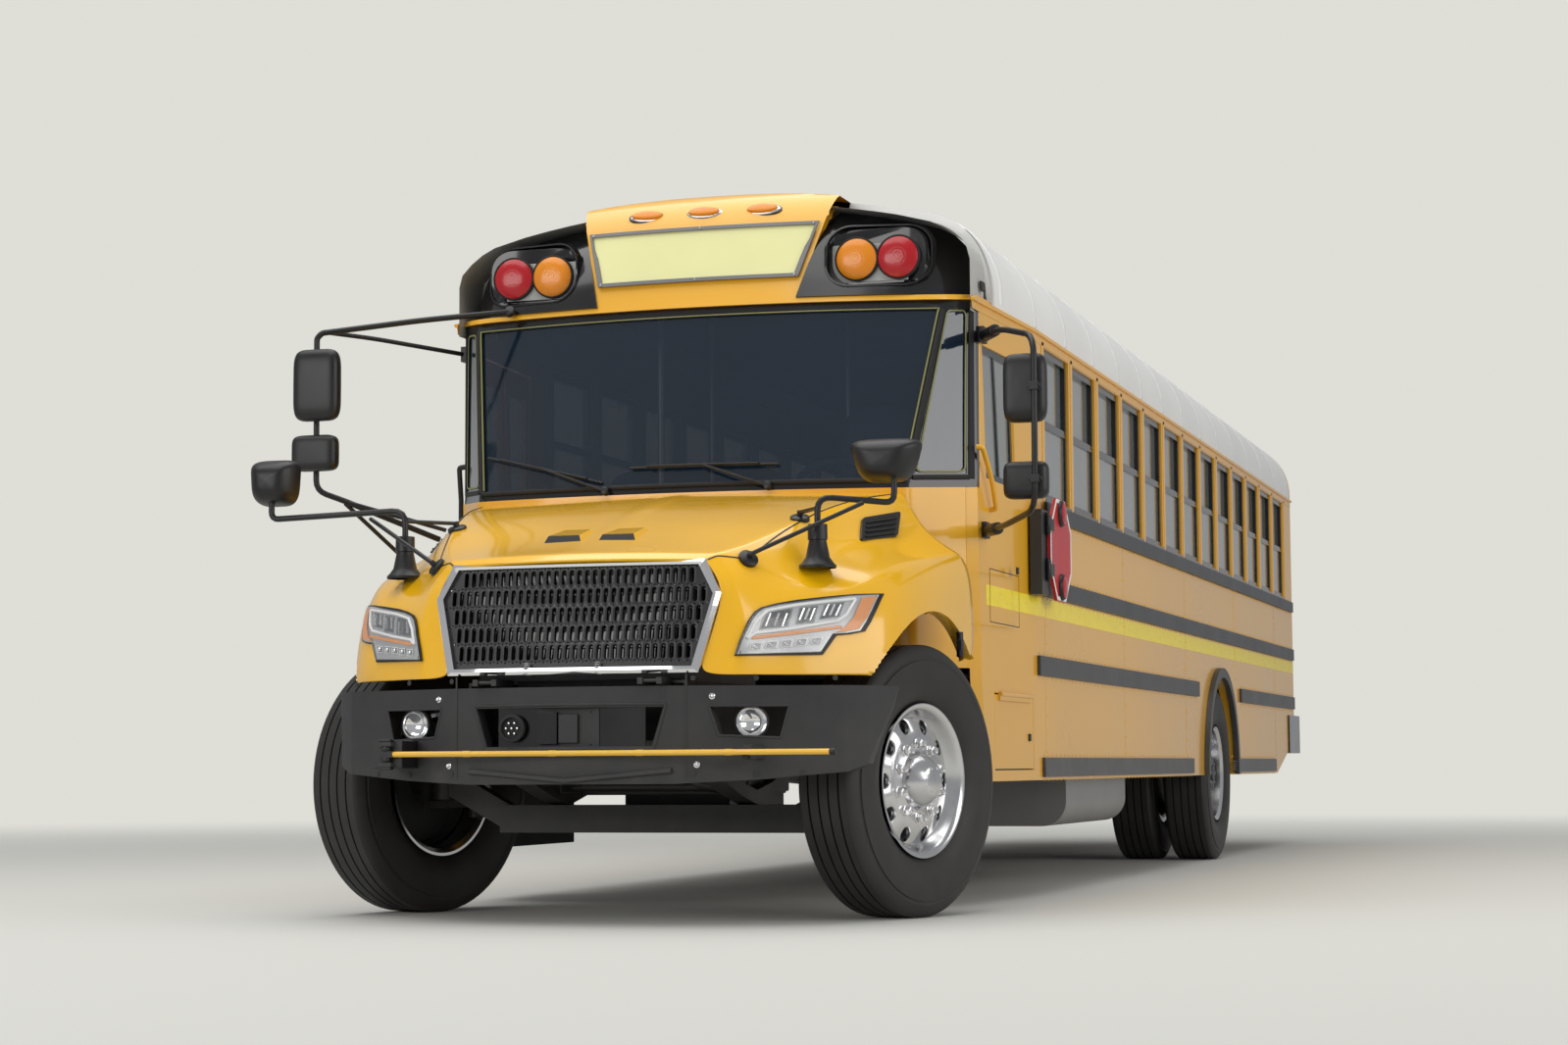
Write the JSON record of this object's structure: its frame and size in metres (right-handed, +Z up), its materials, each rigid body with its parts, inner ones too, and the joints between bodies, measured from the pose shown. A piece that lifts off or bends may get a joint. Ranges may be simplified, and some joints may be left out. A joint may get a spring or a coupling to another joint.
{
  "type": "school bus",
  "caption": "Conventional school bus with a tilting hood, steered front wheels, dual rear wheels, opening doors, stop arm and crossing gate.",
  "frame": {"origin": "on the ground under the middle of the bus, midway between the crossing gate's face and the rear bumper's face", "axes": "+X to the bus's left, +Y to its rear, +Z up; the front faces -Y"},
  "size_m": [3.214, 11.91, 3.0943],
  "materials": {
    "frame_black": "satin",
    "engine_grey": "matt",
    "tank_steel": "satin",
    "floor_black": "matt",
    "body_yellow": "gloss",
    "hood_yellow": "gloss",
    "roof_white": "gloss",
    "black_plastic": "satin",
    "frame_trim": "satin",
    "rail_black": "satin",
    "bumper_grey": "textured",
    "glass": "tinted",
    "red_lens": "ribbed lens",
    "amber_lens": "ribbed lens",
    "lamp_clear": "clear",
    "sign_pale": "reflective sheet",
    "chrome": "polished",
    "seat_blue": "vinyl",
    "seat_steel": "satin",
    "stop_red": "reflective",
    "gate_yellow": "gloss",
    "tyre": "ribbed tread",
    "alloy": "polished"
  },
  "bodies": {
    "chassis": {"chassis_frame": "frame_black", "floor_beams": "frame_black", "front_axle": "frame_black", "rear_axle": "frame_black", "drive_shaft": "frame_black", "underbody_boxes": "frame_black", "engine_block": "engine_grey", "fuel_tank": "tank_steel", "exhaust": "tank_steel", "floor_panel": "floor_black", "wheel_housings": "floor_black", "stepwell": "floor_black", "side_wall_left": "body_yellow", "side_wall_right": "body_yellow", "rear_wall": "body_yellow", "cowl": "body_yellow", "front_cap": "body_yellow", "roof": "roof_white", "lamp_housings": "black_plastic", "dashboard": "black_plastic", "side_mirrors": "black_plastic", "wipers": "black_plastic", "windshield_frame": "frame_trim", "window_frames": "frame_trim", "side_trim": "rail_black", "front_bumper": "bumper_grey", "rear_bumper": "bumper_grey", "body_glass": "glass", "body_lamps": "red_lens", "marker_lamps": "amber_lens", "sign_boards": "sign_pale", "seat_pads": "seat_blue", "seat_frames": "seat_steel"},
    "hood": {"hood": "hood_yellow", "headlamps": "lamp_clear", "grille_surround": "chrome", "grille_mesh": "black_plastic", "cross_mirrors": "black_plastic"},
    "knuckle_left": {"knuckle_left": "frame_black"},
    "knuckle_right": {"knuckle_right": "frame_black"},
    "tie_rod": {"tie_rod": "frame_black"},
    "wheel_front_left": {"tyre_front_left": "tyre", "rim_front_left": "alloy"},
    "wheel_front_right": {"tyre_front_right": "tyre", "rim_front_right": "alloy"},
    "wheels_rear_left": {"tyre_rear_left": "tyre", "rim_rear_left": "alloy"},
    "wheels_rear_right": {"tyre_rear_right": "tyre", "rim_rear_right": "alloy"},
    "entrance_door_front": {"entrance_door_front": "body_yellow", "entrance_glass_front": "glass"},
    "entrance_door_rear": {"entrance_door_rear": "body_yellow", "entrance_glass_rear": "glass"},
    "rear_door": {"rear_door": "body_yellow", "rear_door_glass": "glass"},
    "battery_door": {"battery_door": "body_yellow"},
    "roof_hatch_front": {"roof_hatch_front": "roof_white"},
    "roof_hatch_rear": {"roof_hatch_rear": "roof_white"},
    "stop_arm": {"stop_arm": "stop_red"},
    "crossing_gate": {"crossing_gate": "gate_yellow"}
  },
  "joints": [
    {"name": "hood_tilt", "type": "hinge", "parent": "chassis", "child": "hood", "pos_m": [0, -5.89, 0.897], "axis": [1, 0, 0], "range_deg": [0, 60]},
    {"name": "steer", "type": "hinge", "parent": "chassis", "child": "knuckle_left", "pos_m": [0.905, -4.945, 0.524], "axis": [0, 0, 1], "range_deg": [-22, 58]},
    {"name": "steer_right", "type": "hinge", "parent": "chassis", "child": "knuckle_right", "pos_m": [-0.905, -4.945, 0.524], "axis": [0, 0, 1], "range_deg": [-22, 58]},
    {"name": "tie_rod_pivot", "type": "hinge", "parent": "knuckle_left", "child": "tie_rod", "pos_m": [0.96371, -4.7643, 0.394], "axis": [0, 0, 1], "range_deg": [-58, 22]},
    {"name": "wheel_front_left_spin", "type": "hinge", "parent": "knuckle_left", "child": "wheel_front_left", "pos_m": [1.01913, -4.98208, 0.524], "axis": [0.9511, -0.309, 0], "continuous": true},
    {"name": "wheels_rear_left_spin", "type": "hinge", "parent": "chassis", "child": "wheels_rear_left", "pos_m": [0.91, 2.005, 0.524], "axis": [1, 0, 0], "continuous": true},
    {"name": "wheel_front_right_spin", "type": "hinge", "parent": "knuckle_right", "child": "wheel_front_right", "pos_m": [-1.01913, -4.90792, 0.524], "axis": [0.9511, -0.309, 0], "continuous": true},
    {"name": "wheels_rear_right_spin", "type": "hinge", "parent": "chassis", "child": "wheels_rear_right", "pos_m": [-0.91, 2.005, 0.524], "axis": [1, 0, 0], "continuous": true},
    {"name": "entrance_door", "type": "hinge", "parent": "chassis", "child": "entrance_door_front", "pos_m": [-1.229, -4.122, 1.3], "axis": [0, 0, 1], "range_deg": [0, 90]},
    {"name": "entrance_door_rear_fold", "type": "hinge", "parent": "chassis", "child": "entrance_door_rear", "pos_m": [-1.229, -3.368, 1.3], "axis": [0, 0, 1], "range_deg": [-90, 0]},
    {"name": "rear_door_swing", "type": "hinge", "parent": "chassis", "child": "rear_door", "pos_m": [-0.332, 5.655, 1.75], "axis": [0, 0, 1], "range_deg": [0, 105]},
    {"name": "battery_door_lift", "type": "hinge", "parent": "chassis", "child": "battery_door", "pos_m": [1.229, -3.795, 0.877], "axis": [0, -1, 0], "range_deg": [0, 95]},
    {"name": "roof_hatch_front_lift", "type": "hinge", "parent": "chassis", "child": "roof_hatch_front", "pos_m": [0, -1.727, 3.0663], "axis": [1, 0, 0], "range_deg": [0, 50]},
    {"name": "roof_hatch_rear_lift", "type": "hinge", "parent": "chassis", "child": "roof_hatch_rear", "pos_m": [0, 3.123, 3.0663], "axis": [1, 0, 0], "range_deg": [0, 50]},
    {"name": "stop_arm_swing", "type": "hinge", "parent": "chassis", "child": "stop_arm", "pos_m": [1.287, -3.387, 1.537], "axis": [0, 0, -1], "range_deg": [0, 90]},
    {"name": "crossing_gate_swing", "type": "hinge", "parent": "chassis", "child": "crossing_gate", "pos_m": [-0.705, -5.938, 0.634], "axis": [0, 0, -1], "range_deg": [0, 90]}
  ],
  "couplings": [
    {"joint": "steer_right", "follows": "steer", "ratio": 1},
    {"joint": "tie_rod_pivot", "follows": "steer", "ratio": -1},
    {"joint": "entrance_door_rear_fold", "follows": "entrance_door", "ratio": -1}
  ]
}
